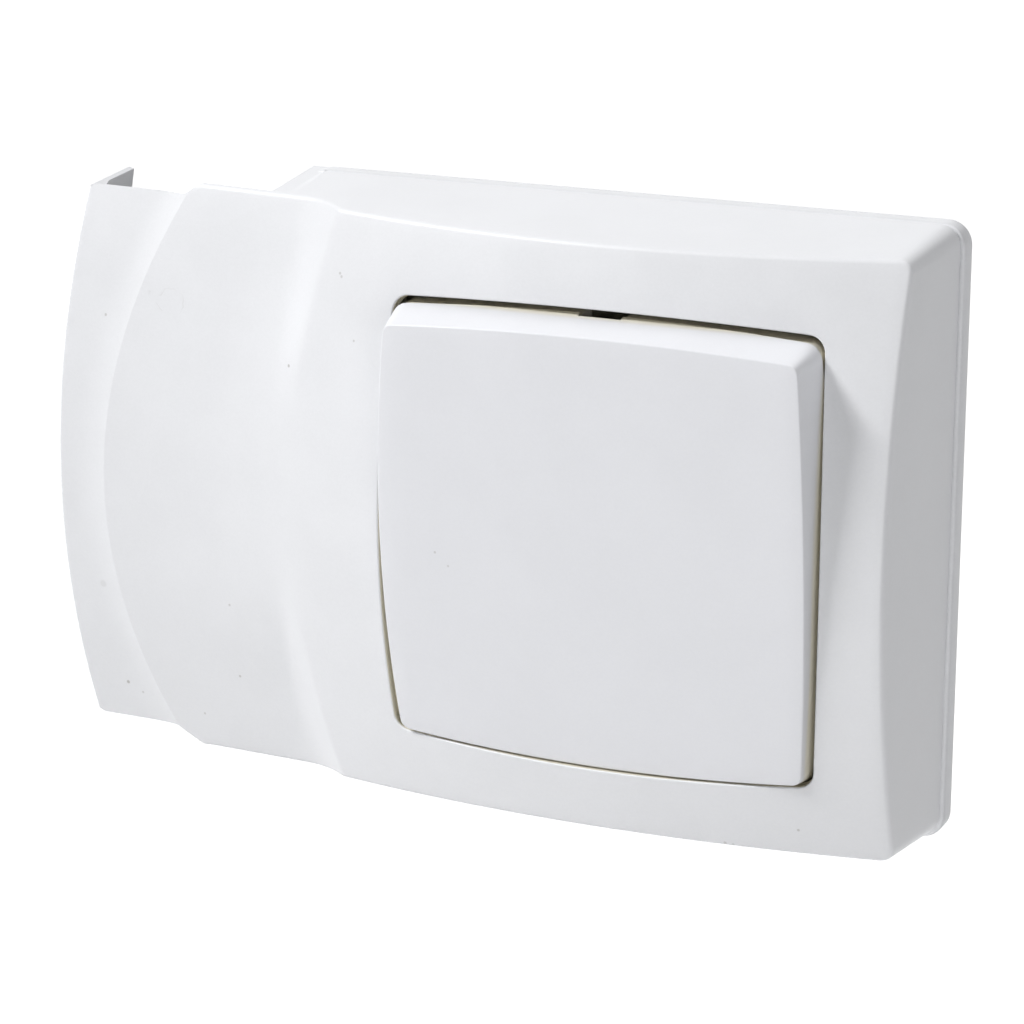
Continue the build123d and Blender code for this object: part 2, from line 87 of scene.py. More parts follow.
def ease(t):
    """A soft step from 0 to 1."""
    t = min(max(t, 0.0), 1.0)
    return t * t * (3 - 2 * t)


def bowed_line(at_ends, bow, y):
    """Where a line that bows to the left crosses the height y."""
    return at_ends - bow * (1 - (y / BOW_HALF) ** 2)


def swell(t):
    """A rise from 0 to 1 that starts softly and ends in a crest."""
    t = min(max(t, 0.0), 1.0)
    return t * t * (1.6 - 0.6 * t)


def crest_x(y):
    """Where the crest of the bridge's curved step crosses the height y."""
    return CREST_LEFT + (y - CREST_MIDDLE) ** 2 / CREST_BOW


def front_out(x, y):
    """How far the moulded front stands out from the wall."""
    fall = y * y / DOME_UP
    dome = DOME_TOP - x * x / DOME_ACROSS - fall
    run = x - TANGENT_X
    middle = TANGENT_OUT + TANGENT_SLOPE * run + TANGENT_CURVE * run * run
    ends = PLATEAU_OUT + PLATEAU_SLOPE * (x - PLATEAU_X)
    plateau = middle + (ends - middle) * ease((abs(y) - PLATEAU_START) / PLATEAU_BLEND) - fall
    flange = FLANGE_OUT + FLANGE_SLOPE * (x - FLANGE_X) - fall
    rise = min(max((x - crest_x(y)) / STEP_WIDTH + 1.0, 0.0), 1.0)
    low = flange + (plateau - flange) * rise ** 2
    fold_foot, fold_top = bowed_line(*FOLD_FOOT, y), bowed_line(*FOLD_TOP, y)
    way = (x - fold_foot) / (fold_top - fold_foot)
    crisp = (y / BOW_HALF) ** 2
    return low + (dome - low) * (ease(way) * (1 - crisp) + swell(way) * crisp)


EDGE_R = 0.9
EDGE_FADE_X = -66.8
EDGE_FADE_WIDTH = 2.6
EDGE_INSET = 0.63
EDGE_START = 0.28
EDGE_END = 1.471
END_LEFT = -86.08
END_BOW = 580.0
END_MIDDLE = -2
END_CORNER_R = 1.3
WALL_HALF = 42.0
WALL_DRAFT = 0.1
LOWER_WALL_DRAFT = 0.073
WALL_FOOT = 3.35
FLANGE_HALF = 40.1
LOWER_FLANGE_HALF = 39.7
FLANGE_DRAFT = 0.08
STEP_NOTCH_X = -67.9
STEP_NOTCH_WIDTH = 3.6
LOWER_NOTCH_X = -69.8
LOWER_NOTCH_WIDTH = 4.0


def edge_radius(x):
    """Radius of the front edge, which fades out at the notch beside the flange."""
    return EDGE_R * ease((x - EDGE_FADE_X) / EDGE_FADE_WIDTH)


def edge_inset(x):
    """How far the front's rounding starts inside its leaning wall."""
    return edge_radius(x) * EDGE_INSET


def end_x(y):
    """The outer face of the bowed end wall."""
    return END_LEFT + (y - END_MIDDLE) ** 2 / END_BOW


def half_at(x, side=1):
    """Half the height of the front at x, up to where its edge begins to round; side is 1 for the top."""
    if side > 0:
        notch = ease((x - STEP_NOTCH_X) / STEP_NOTCH_WIDTH)
        wall_draft, flange_half = WALL_DRAFT, FLANGE_HALF
    else:
        notch = min(max((x - LOWER_NOTCH_X) / LOWER_NOTCH_WIDTH, 0.0), 1.0)
        wall_draft, flange_half = LOWER_WALL_DRAFT, LOWER_FLANGE_HALF
    y = BOW_HALF
    for _ in range(SETTLE_ROUNDS):
        out = front_out(x, side * y)
        wall = WALL_HALF - wall_draft * out - edge_inset(x)
        flange = flange_half - FLANGE_DRAFT * out
        y = flange + (wall - flange) * notch
    corner = (END_CORNER_R - (x - end_x(side * y))) / END_CORNER_R
    if corner > 0:
        y -= END_CORNER_R * (1 - math.sqrt(max(1 - corner * corner, 0.0)))
    return y


def right_at(y):
    """The right end of the front at the height y, up to where its edge begins to round."""
    x = 39.0
    for _ in range(SETTLE_ROUNDS):
        x = WALL_HALF - WALL_DRAFT * front_out(x, y) - edge_inset(x)
    return x


def bowed_outline(half, bow, corner_r):
    """Points round a square with bowed sides and rounded corners, from the foot of its right side upwards."""
    arc_r = (half * half + bow * bow) / (2 * bow)
    arc_y = half + bow - arc_r
    c = (arc_y + math.sqrt(2 * (arc_r - corner_r) ** 2 - arc_y ** 2)) / 2
    swing = math.atan2(c, c - arc_y)
    quarter = []
    for i in range(SIDE_STEPS):
        a = -swing + 2 * swing * i / SIDE_STEPS
        quarter.append((arc_y + arc_r * math.cos(a), arc_r * math.sin(a)))
    for i in range(CORNER_STEPS):
        a = swing + (math.pi / 2 - 2 * swing) * i / CORNER_STEPS
        quarter.append((c + corner_r * math.cos(a), c + corner_r * math.sin(a)))
    points = []
    for _ in range(4):
        points += quarter
        quarter = [(-y, x) for x, y in quarter]
    return points


CORNER_R = 3.0
CORNER_DRAFT = 0.06
SEAM_CORNER = 3.0


def corner_r_at(out):
    """Radius of the cover's upright corners at a height out from the wall."""
    return CORNER_R - CORNER_DRAFT * out


def lower_share(x):
    """How much further the front reaches below the middle than above it."""
    return half_at(x, -1) / half_at(x, 1)


def front_corner():
    """Radius and centre of the front's right-hand corners, where their edge begins to round."""
    r = corner_r_at(front_out(38.5, 38.5)) - edge_inset(0.0)
    cx = cy = 38.0
    for _ in range(SETTLE_ROUNDS):
        cx, cy = right_at(cy) - r, half_at(cx) - r
    return r, cx, cy


def ring_outline():
    """The outer end of the domed front: the rounded edge on three sides and the seam on the left."""
    points = []
    r, cx, cy = front_corner()
    for i in range(SIDE_STEPS):
        y = -cy + 2 * cy * i / SIDE_STEPS
        y *= lower_share(cx) if y < 0 else 1.0
        points.append((right_at(y), y))
    for i in range(CORNER_STEPS):
        a = math.pi / 2 * i / CORNER_STEPS
        points.append((cx + r * math.cos(a), cy + r * math.sin(a)))
    for i in range(SIDE_STEPS):
        x = cx + (SEAM + SEAM_CORNER - cx) * i / SIDE_STEPS
        points.append((x, half_at(x)))
    half = CORNER_STEPS // 2
    for i in range(half):
        x = SEAM + SEAM_CORNER - SEAM_CORNER * i / half
        points.append((x, half_at(x)))
    top = half_at(SEAM)
    for i in range(half):
        points.append((SEAM, top - SEAM_CORNER * i / half))
    for i in range(SIDE_STEPS):
        y = (top - SEAM_CORNER) * (1 - 2 * i / SIDE_STEPS)
        y *= lower_share(SEAM) if y < 0 else 1.0
        points.append((SEAM, y))
    upper = points[SIDE_STEPS + 1:SIDE_STEPS * 2 + CORNER_STEPS * 2 + 1]
    return points + [(x, -y * lower_share(min(x, cx))) for x, y in reversed(upper)]


def mapped_grid(bm, columns, rows, place):
    """Add a grid of quads whose vertex in column i and row j lies at place(i, j)."""
    made = bmesh.ops.create_grid(bm, x_segments=columns - 1, y_segments=rows - 1, size=0.5)
    for vert in made["verts"]:
        i = round((vert.co.x + 0.5) * (columns - 1))
        j = round((vert.co.y + 0.5) * (rows - 1))
        vert.co = place(i, j)
    return made["verts"]


cover = bmesh.new()
OPENING = (30.22, 1.15, 2.4)
COLLAR_BACK = 17.6
COLLAR_DRAFT = 0.6
LIP_R = 0.18
LIP_STEPS = 4
FRONT_STEPS = 12
COLLAR_STEPS = 2
ring = ring_outline()
lip_rings = []
for step in range(LIP_STEPS + 1):
    grow = LIP_R * (1 - math.cos(math.pi / 2 * step / LIP_STEPS))
    lip_rings.append(bowed_outline(OPENING[0] + grow, OPENING[1], OPENING[2] + grow))
collar_rear = bowed_outline(OPENING[0] + COLLAR_DRAFT, OPENING[1], OPENING[2] + COLLAR_DRAFT)


def dome_place(column, row):
    """The collar, the opening's rounded lip and the domed front, from the inside outwards."""
    k = column % len(ring)
    lip_x, lip_y = lip_rings[-1][k]
    crest = front_out(lip_x, lip_y)
    if row <= COLLAR_STEPS + LIP_STEPS:
        step = max(row - COLLAR_STEPS, 0)
        x, y = lip_rings[step][k]
        top = crest - LIP_R * (1 - math.sin(math.pi / 2 * step / LIP_STEPS))
        back = max(1 - row / COLLAR_STEPS, 0.0)
        rear_x, rear_y = collar_rear[k]
        return at(x, y, top).lerp(at(rear_x, rear_y, COLLAR_BACK), back)
    way = ((row - COLLAR_STEPS - LIP_STEPS) / FRONT_STEPS) ** 2
    x = lip_x + (ring[k][0] - lip_x) * way
    y = lip_y + (ring[k][1] - lip_y) * way
    return at(x, y, front_out(x, y))


mapped_grid(cover, len(ring) + 1, COLLAR_STEPS + LIP_STEPS + FRONT_STEPS + 1, dome_place)

# The bridge and its flange carry on from the seam of the domed front, column by column to the left.
SEAM_TOP = 2 * SIDE_STEPS + CORNER_STEPS + CORNER_STEPS // 2
SEAM_ROWS = SIDE_STEPS + CORNER_STEPS + 1
FOLD_COLUMNS = 31
STEP_COLUMNS = 24
FLANGE_COLUMNS = 34
LAST_COLUMN = FOLD_COLUMNS + STEP_COLUMNS + FLANGE_COLUMNS - 1
CREST_CROWDING = 1.6
FLANGE_CROWDING = 0.8
END_EDGE_R = 0.45


def column_x(column, y):
    """Columns run straight up beside the seam, then bend more and more into the line of the step's crest."""
    if column < FOLD_COLUMNS:
        return SEAM + (BOX_LEFT - SEAM) * column / (FOLD_COLUMNS - 1)
    column -= FOLD_COLUMNS - 1
    crest = crest_x(y)
    if column <= STEP_COLUMNS:
        return crest + (BOX_LEFT - crest) * (1 - column / STEP_COLUMNS) ** CREST_CROWDING
    way = (column - STEP_COLUMNS) / FLANGE_COLUMNS
    way -= FLANGE_CROWDING * math.sin(2 * math.pi * way) / (2 * math.pi)
    return crest + (end_x(y) + END_EDGE_R - crest) * way


def edge_height(column, side):
    """Where a column of the bridge ends at the top, or at the foot for side -1."""
    y = 39.0
    for _ in range(SETTLE_ROUNDS):
        y = half_at(column_x(column, side * y), side)
    return y


edge_heights = {side: [edge_height(column, side) for column in range(LAST_COLUMN + 1)] for side in (-1, 1)}


def bridge_place(column, row):
    """The bridge's front: rows as on the seam, columns leftwards to the end of the flange."""
    side = 1 if ring[SEAM_TOP + row][1] > 0 else -1
    y = ring[SEAM_TOP + row][1] / half_at(SEAM, side) * edge_heights[side][column]
    x = column_x(column, y)
    return at(x, y, front_out(x, y))


mapped_grid(cover, LAST_COLUMN + 1, SEAM_ROWS, bridge_place)

# The rounded front edge and the leaning side walls run round three sides; under the bridge only the
# skin's own edge shows, and the end wall closes the trunking.
EDGE_STEPS = 5
WALL_STEPS = 3
r, cx, cy = front_corner()
foot_r = corner_r_at(WALL_FOOT)
foot_half = WALL_HALF - WALL_DRAFT * WALL_FOOT
foot_c = foot_half - foot_r
TOP_FLUSH = 0.5
RIM_LEFT = -50.3
END_FOOT = 0.2
rim_path = []
for column in reversed(range(1, FOLD_COLUMNS + STEP_COLUMNS)):
    spot = bridge_place(column, SEAM_ROWS - 1) / MM
    rim_path.append(((spot.x, spot.z), (0.0, -1.0), (spot.x, -foot_half)))
first = SEAM_TOP + SEAM_ROWS - 1
for k in range(first, len(ring) + SEAM_TOP + 1):
    x, y = ring[k % len(ring)]
    level = y if y > 0 else y / lower_share(min(x, cx))
    if x > cx and abs(level) > cy:
        dx, dy = (x - cx) / r, math.copysign((abs(level) - cy) / r, y)
        foot_y = math.copysign(foot_c, y) + foot_r * dy
        foot_x = foot_c + foot_r * dx
    elif x > cx:
        dx, dy = 1.0, 0.0
        foot_x, foot_y = foot_half, level * foot_c / cy
    else:
        dx, dy = 0.0, math.copysign(1.0, y)
        foot_x, foot_y = x * foot_c / cx if x > 0 else x, math.copysign(foot_half, y)
    foot_y += TOP_FLUSH * min(max(level / cy, 0.0), 1.0)
    rim_path.append(((x, y), (dx, dy), (foot_x, foot_y)))
for column in range(1, FOLD_COLUMNS + STEP_COLUMNS):
    spot = bridge_place(column, 0) / MM
    rim_path.append(((spot.x, spot.z), (0.0, 1.0), (spot.x, foot_half + TOP_FLUSH)))


def edge_place(column, row):
    """The rounded front edge, from the front round to the wall."""
    (x, y), (dx, dy), _ = rim_path[column]
    radius = edge_radius(x)
    angle = EDGE_START + (EDGE_END - EDGE_START) * row / EDGE_STEPS
    away = radius * (math.sin(angle) - math.sin(EDGE_START))
    drop = radius * (math.cos(EDGE_START) - math.cos(angle))
    return at(x + dx * away, y + dy * away, front_out(x, y) - drop)


mapped_grid(cover, len(rim_path), EDGE_STEPS + 1, edge_place)
walls = [i for i, (start, *_) in enumerate(rim_path) if start[0] > BOX_LEFT - 0.01]


def wall_place(column, row):
    """The leaning wall, from the rounded edge back to the groove above the base's rim."""
    top = edge_place(walls[column], EDGE_STEPS)
    x, y = rim_path[walls[column]][2]
    foot = END_FOOT if y > 0 and x < RIM_LEFT else WALL_FOOT
    return top.lerp(at(x, y, foot), row / WALL_STEPS)


mapped_grid(cover, len(walls), WALL_STEPS + 1, wall_place)


def end_place(column, row):
    """The end wall: a rounded edge from the flange, then straight back to the wall."""
    last = bridge_place(LAST_COLUMN, column) / MM
    x, y, out = last.x, last.z, -last.y
    if row <= EDGE_STEPS:
        angle = math.pi / 2 * row / EDGE_STEPS
        return at(x - END_EDGE_R * math.sin(angle), y, out - END_EDGE_R * (1 - math.cos(angle)))
    low = (out - END_EDGE_R) * (1 - (row - EDGE_STEPS) / WALL_STEPS)
    y_low = y * (LOWER_FLANGE_HALF - FLANGE_DRAFT * low) / (LOWER_FLANGE_HALF - FLANGE_DRAFT * out)
    return at(end_x(y_low), y_low, low)


mapped_grid(cover, SEAM_ROWS, EDGE_STEPS + WALL_STEPS + 1, end_place)
WELD = 0.004 * MM
END_THINNED = 0.9
bmesh.ops.remove_doubles(cover, verts=cover.verts, dist=WELD)
bmesh.ops.recalc_face_normals(cover, faces=cover.faces)
probe = min(cover.faces, key=lambda f: (f.calc_center_median() - at(36, 0, 25)).length)
if probe.normal.y > 0:
    bmesh.ops.reverse_faces(cover, faces=cover.faces)
inside = bmesh.ops.solidify(cover, geom=cover.faces[:], thickness=SKIN * MM)["geom"]
for vert in [part for part in inside if isinstance(part, bmesh.types.BMVert)]:
    x, y, out = vert.co.x / MM, vert.co.z / MM, -vert.co.y / MM
    vert.co.y = -min(out, front_out(x, y) - SKIN) * MM
    if 1.2 < x - end_x(y) < 2.3 and out < 10.0:
        vert.co.x -= END_THINNED * MM


def block(bm, x0, x1, y0, y1, out0, out1):
    """A plain moulded block between two corners, in millimetres."""
    low, high = at(x0, y0, out1), at(x1, y1, out0)
    size = high - low
    matrix = Matrix.Translation((low + high) / 2) @ Matrix.Diagonal((*size, 1.0))
    return bmesh.ops.create_cube(bm, size=1.0, matrix=matrix)["verts"]


PARTITION = (-53.4, -51.5)
ENTRY_HALF = 11.0
ENTRY_TOP = 11.5
ARM_HALF = 4
ARM_BACK = 10.0
for y0, y1 in ((-40.6, -ENTRY_HALF), (ENTRY_HALF, 40.6)):
    for vert in block(cover, *PARTITION, y0, y1, WALL_FOOT, 18.0):
        y = vert.co.z / MM
        if -vert.co.y > 10 * MM:
            vert.co.y = -(front_out(-52.5, y) - 1.2) * MM
block(cover, *PARTITION, -ENTRY_HALF, ENTRY_HALF, ENTRY_TOP, 17.4)
for x in (-20.0, 20.0):
    for side in (-1, 1):
        y0, y1 = sorted((side * 35.5, side * 37.1))
        block(cover, x - ARM_HALF, x + ARM_HALF, y0, y1, ARM_BACK, 21.0)
        y0, y1 = sorted((side * 34.5, side * 35.6))
        block(cover, x - ARM_HALF, x + ARM_HALF, y0, y1, ARM_BACK, 11.1)


def finish_mesh(bm, name, sharp_deg=32.0):
    """Shade a mesh smooth but for its sharp edges, and make it an object at the origin."""
    for face in bm.faces:
        face.smooth = True
    for edge in bm.edges:
        if edge.is_manifold and edge.calc_face_angle() > math.radians(sharp_deg):
            edge.smooth = False
    mesh = bpy.data.meshes.new(name)
    bm.to_mesh(mesh)
    bm.free()
    piece = bpy.data.objects.new(name, mesh)
    bpy.context.collection.objects.link(piece)
    return piece


class Shade:
    """A shader socket that takes part in plain arithmetic."""

    def __init__(self, tree, socket):
        self.tree = tree
        self.socket = socket

    def node(self, kind, settings, sockets, output=0):
        """Add a node: its settings first, then the values or links of its sockets. Gives one output."""
        made = self.tree.nodes.new(kind)
        for name, setting in settings.items():
            setattr(made, name, setting)
        for name, value in sockets.items():
            if isinstance(value, Shade):
                self.tree.links.new(value.socket, made.inputs[name])
            else:
                made.inputs[name].default_value = value
        return Shade(self.tree, made.outputs[output])

    def math(self, operation, first, second):
        return self.node("ShaderNodeMath", {"operation": operation}, {0: first, 1: second})

    def __add__(self, other):
        return self.math("ADD", self, other)

    __radd__ = __add__

    def __sub__(self, other):
        return self.math("SUBTRACT", self, other)

    def __rsub__(self, other):
        return self.math("SUBTRACT", other, self)

    def __mul__(self, other):
        return self.math("MULTIPLY", self, other)

    __rmul__ = __mul__

    def noise(self, scale, detail=2.0):
        """Even noise about 0.5 over the piece, `scale` spots to the metre."""
        return self.node("ShaderNodeTexNoise", {}, {"Vector": self, "Scale": scale, "Detail": detail})

    def ramp(self, low, high):
        """A soft step of this value from 0 at low to 1 at high."""
        sockets = {"Value": self, "From Min": low, "From Max": high}
        return self.node("ShaderNodeMapRange", {"interpolation_type": "SMOOTHSTEP"}, sockets)

    def blend(self, first, second):
        """Mix two colours by this value."""
        sockets = {0: self, 6: first, 7: second}
        return self.node("ShaderNodeMix", {"data_type": "RGBA"}, sockets, output=2)

    def part(self, axis):
        """One part of a place, in millimetres: 0 to the right, 1 into the wall, 2 up."""
        return self.node("ShaderNodeSeparateXYZ", {}, {"Vector": self}, output=axis) * 1000.0

    def feed(self, shader, name):
        """Lead this value into one socket of the surface shader."""
        self.tree.links.new(self.socket, shader.inputs[name])


def finish_of(name):
    """A new material: the material, its surface shader and the place on the piece in metres."""
    material = bpy.data.materials.new(name)
    material.use_nodes = True
    tree = material.node_tree
    place = Shade(tree, tree.nodes.new("ShaderNodeTexCoord").outputs["Object"])
    return material, tree.nodes["Principled BSDF"], place


def tone(red, green, blue):
    """A colour as it looks on a screen, 0 to 255, made linear for the shader."""
    parts = []
    for part in (red, green, blue):
        part /= 255.0
        parts.append(part / 12.92 if part <= 0.04045 else ((part + 0.055) / 1.055) ** 2.4)
    return (*parts, 1.0)


def moulded_plastic(name, dull, bright, roughness, grain, dust_and_shade=None):
    """Moulded plastic: a fine eroded grain, faint cloudiness in its colour and an uneven satin gloss."""
    material, shader, place = finish_of(name)
    clouds = place.noise(90.0, 3.0).ramp(0.3, 0.7)
    flecks = place.noise(2600.0, 1.0).ramp(0.25, 0.75)
    colour = (clouds * 0.6 + flecks * 0.4).blend(dull, bright)
    # Painted shade and dust marks, where the piece has them.
    if dust_and_shade:
        colour = dust_and_shade(place, colour)
    colour.feed(shader, "Base Color")
    (roughness - 0.05 + clouds * 0.06 + flecks * 0.06).feed(shader, "Roughness")
    texture = place.noise(3400.0, 2.0) + place.noise(900.0, 1.0) * 0.5
    bump = {"Strength": grain, "Distance": 0.00003, "Height": texture}
    place.node("ShaderNodeBump", {}, bump).feed(shader, "Normal")
    return material


def spotted(place, colour, spots, dirt):
    """Blend small round spots into a colour; each has its place across and up, a radius and a strength."""
    flat = place.node("ShaderNodeVectorMath", {"operation": "MULTIPLY"}, {0: place, 1: (1000.0, 0.0, 1000.0)})
    for x, y, radius, strength in spots:
        away = {0: flat, 1: (x, 0.0, y)}
        away = place.node("ShaderNodeVectorMath", {"operation": "DISTANCE"}, away, output="Value")
        colour = ((1.0 - away.ramp(radius * 0.5, radius)) * strength).blend(colour, dirt)
    return colour


SPECKS = ((-77.7, -33.1, 0.34, 0.55), (-75.4, -34.4, 0.24, 0.3), (-57.7, -28.6, 0.26, 0.35),
          (-58.0, -17.5, 0.24, 0.3), (-64.7, -35.8, 0.24, 0.3), (-78.7, 21.5, 0.26, 0.35),
          (-47.2, 18.4, 0.28, 0.5), (-36.2, 23.4, 0.22, 0.3), (-79.8, -17.8, 0.7, 0.12),
          (-39.4, 31.9, 0.25, 0.3), (-39.1, 31.5, 0.25, 0.3), (28.0, -36.8, 0.25, 0.35),
          (17.9, -40.0, 0.3, 0.3), (19.0, -40.1, 0.25, 0.25))
DUST = tone(132, 126, 116)
FIBRE = (-68.6, 24.2, 2.3)


def cover_dust_and_shade(place, colour):
    """Painted warm shade on the collar inside the opening, where light only creeps in, a faint looped fibre
    and specks of dust.
    """
    across, up = place.part(0), place.part(2)
    half, bow = OPENING[0], OPENING[1]
    beside = across.math("ABSOLUTE", across, 0.0) + up * up * (bow / half ** 2)
    above = up.math("ABSOLUTE", up, 0.0) + across * across * (bow / half ** 2)
    collar = 1.0 - across.math("MAXIMUM", beside, above).ramp(half + bow + 0.7, half + bow + 0.9)
    behind = DOME_TOP - across * across * (1 / DOME_ACROSS) - up * up * (1 / DOME_UP) + place.part(1)
    # Painted shade: the collar's inside, behind the front, is blended to a warm cream.
    colour = (collar * behind.ramp(0.1, 0.5)).blend(colour, tone(226, 221, 204))
    x, y, radius = FIBRE
    flat = place.node("ShaderNodeVectorMath", {"operation": "MULTIPLY"}, {0: place, 1: (1000.0, 0.0, 1250.0)})
    away = {0: flat, 1: (x, 0.0, y * 1.25)}
    loop = place.node("ShaderNodeVectorMath", {"operation": "DISTANCE"}, away, output="Value") - radius
    loop = loop + (place.noise(330.0, 2.0) - 0.5) * 7.0
    line = 1.0 - loop.math("ABSOLUTE", loop, 0.0).ramp(0.05, 0.16)
    near = 1.0 - loop.math("ABSOLUTE", loop, 0.0).ramp(0.5, 1.2)
    colour = (line * near * place.noise(420.0).ramp(0.42, 0.6) * 0.1).blend(colour, DUST)
    return spotted(place, colour, SPECKS, DUST)


cover_piece = finish_mesh(cover, "cover_moulding")
cover_white = moulded_plastic("cover_white", tone(230, 231, 234), tone(234, 235, 238), 0.42, 0.35,
                              dust_and_shade=cover_dust_and_shade)
cover_piece.data.materials.append(cover_white)
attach(cover_piece, "base")
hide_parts("front_frame")

# Rocker key: a white moulded cap with a slightly domed face and tapered sides. A shallow rebate runs
# round its rear edge, with a notch top and bottom to pry it off; four legs clip it to the cradle.
KEY_HALF = 28.92
KEY_BOW = 1.22
KEY_RIM = 27.1
KEY_TAPER = 0.18
KEY_CORNER_R = 1.3
KEY_WIDE_CORNER_R = 2.78
KEY_EDGE_R = 0.3
KEY_EDGE_START = 0.15
KEY_SKIN = 1.8
KEY_TILT = math.radians(5.5)
PIVOT_OUT = 15.0
FACE_TOP = 29.15
FACE_ACROSS = 825.0
FACE_UP = 520.0
FACE_STEPS = 14
SIDE_SHARES = (0.35, 0.65, 0.855, 1.0)
KEY_SIDE_STEPS = len(SIDE_SHARES)
REBATE_TOP = 20.8
REBATE_DEPTH = 0.3
REBATE_CORNER_R = 1.9
NOTCH_HALF = 3.15
NOTCH_TOP = 21.7
KEY_BACK = 17.0


def key_outline(out):
    """The key's outline at a height out from the wall."""
    grow = (KEY_RIM - out) * KEY_TAPER
    return bowed_outline(KEY_HALF + grow, KEY_BOW, KEY_CORNER_R + grow)


def face_out(x, y):
    """The domed face of the key."""
    return FACE_TOP - x * x / FACE_ACROSS - y * y / FACE_UP


key_start = bowed_outline(KEY_HALF - KEY_EDGE_R * 0.8, KEY_BOW, KEY_CORNER_R)
key_wide = bowed_outline(KEY_HALF + 1.0, KEY_BOW, KEY_WIDE_CORNER_R)
rebate_top = key_outline(REBATE_TOP)
rebate_half = KEY_HALF + (KEY_RIM - REBATE_TOP) * KEY_TAPER - REBATE_DEPTH
rebate_in = bowed_outline(rebate_half, KEY_BOW, REBATE_CORNER_R)


def key_place(column, row):
    """The key from the middle of its face outwards, round its edge, down its side and over the rebate."""
    k = column % len(key_start)
    x, y = key_start[k]
    if row <= FACE_STEPS:
        way = row / FACE_STEPS
        return at(x * way, y * way, face_out(x * way, y * way))
    out = face_out(x, y)
    dx, dy = key_wide[k][0] - x, key_wide[k][1] - y
    length = math.hypot(dx, dy)
    end = math.pi / 2 - math.atan(KEY_TAPER)
    angle = KEY_EDGE_START + (end - KEY_EDGE_START) * min((row - FACE_STEPS) / EDGE_STEPS, 1.0)
    away = KEY_EDGE_R * (math.sin(angle) - math.sin(KEY_EDGE_START)) / length
    drop = KEY_EDGE_R * (math.cos(KEY_EDGE_START) - math.cos(angle))
    edge = at(x + dx * away, y + dy * away, out - drop)
    row -= FACE_STEPS + EDGE_STEPS
    if row <= 0:
        return edge
    if row <= KEY_SIDE_STEPS:
        return edge.lerp(at(*rebate_top[k], REBATE_TOP), SIDE_SHARES[row - 1])
    if row == KEY_SIDE_STEPS + 1:
        return at(*rebate_in[k], REBATE_TOP)
    return at(*rebate_in[k], KEY_BACK)


key = bmesh.new()
mapped_grid(key, len(key_start) + 1, FACE_STEPS + EDGE_STEPS + KEY_SIDE_STEPS + 3, key_place)
bmesh.ops.remove_doubles(key, verts=key.verts, dist=WELD)
notch = []
for face in key.faces:
    middle = face.calc_center_median() / MM
    if abs(middle.x) < NOTCH_HALF and abs(middle.z) > 25 and -middle.y < NOTCH_TOP:
        notch.append(face)
bmesh.ops.delete(key, geom=notch, context="FACES")
bmesh.ops.recalc_face_normals(key, faces=key.faces)
probe = min(key.faces, key=lambda f: (f.calc_center_median() - at(5, 0, 29)).length)
if probe.normal.y > 0:
    bmesh.ops.reverse_faces(key, faces=key.faces)
bmesh.ops.solidify(key, geom=key.faces[:], thickness=KEY_SKIN * MM)
LEG_HALF = 2
LEG_BACK = 16.9
for side in (-1, 1):
    block(key, side * 13.0 - 0.6, side * 13.0 + 0.6, -28.0, 28.0, 22.0, 25.5)
    for x in (-7.0, 7.0):
        block(key, x - LEG_HALF, x + LEG_HALF, side * 11.0 - 0.7, side * 11.0 + 0.7, LEG_BACK, 27.5)
        y0, y1 = sorted((side * 11.45, side * 12.35))
        block(key, x - LEG_HALF, x + LEG_HALF, y0, y1, LEG_BACK, 18.2)
pivot = at(0, 0, PIVOT_OUT)
bmesh.ops.rotate(key, cent=pivot, matrix=Matrix.Rotation(KEY_TILT, 3, "X"), verts=key.verts)
KEY_SPECKS = ((-21.7, -2.9, 0.24, 0.3), (-19.8, -4.6, 0.22, 0.25))


def key_dust_and_shade(place, colour):
    """Painted warm shade low on the sides, where light only creeps in, and two specks of dust on the face."""
    across, up, out = place.part(0), place.part(2), 0.0 - place.part(1)
    behind = DOME_TOP - across * across * (1 / DOME_ACROSS) - up * up * (1 / DOME_UP) - out
    raised = (out - PIVOT_OUT) * math.cos(KEY_TILT) - up * math.sin(KEY_TILT) + PIVOT_OUT
    # Painted shade: the key's sides low in the gap, behind the cover's front, are blended to a warm cream.
    low = behind.ramp(-0.3, 0.9) * (1.0 - raised.ramp(25.8, 26.6))
    colour = low.blend(colour, tone(228, 224, 211))
    return spotted(place, colour, KEY_SPECKS, DUST)


key_piece = finish_mesh(key, "key_cap")
key_white = moulded_plastic("key_white", tone(229, 230, 234), tone(232, 233, 237), 0.4, 0.2,
                            dust_and_shade=key_dust_and_shade)
key_piece.data.materials.append(key_white)
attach(key_piece, "rocker")
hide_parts("rocker_key")


# Rear base: white moulded tray screwed to the wall, whose rim shows behind the cover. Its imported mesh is
# copied, merged and shaded smooth between its real edges.
def smooth_copy(node, name):
    """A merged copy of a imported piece, smooth but for its sharp edges."""
    bm = bmesh.new()
    bm.from_mesh(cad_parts[node].data)
    bmesh.ops.remove_doubles(bm, verts=bm.verts, dist=0.002 * MM)
    piece = finish_mesh(bm, name, sharp_deg=50.0)
    piece.data.materials.clear()
    weighted = piece.modifiers.new("even_shading", "WEIGHTED_NORMAL")
    weighted.keep_sharp = True
    return piece


base_piece = smooth_copy("wall_base", "rear_base")
base_white = moulded_plastic("base_white", tone(224, 225, 228), tone(231, 232, 235), 0.4, 0.25)
base_piece.data.materials.append(base_white)
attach(base_piece, "base")
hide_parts("wall_base")


# Mechanism: the cream carrier plate is screwed to the base and holds the switch by hooks. The housing, the
# bearing bracket, the tilting cradle and its plunger are plain engineering mouldings, grey and off-white.
def dress(material, *nodes):
    """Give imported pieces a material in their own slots."""
    for node in nodes:
        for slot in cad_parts[node].material_slots:
            slot.material = material


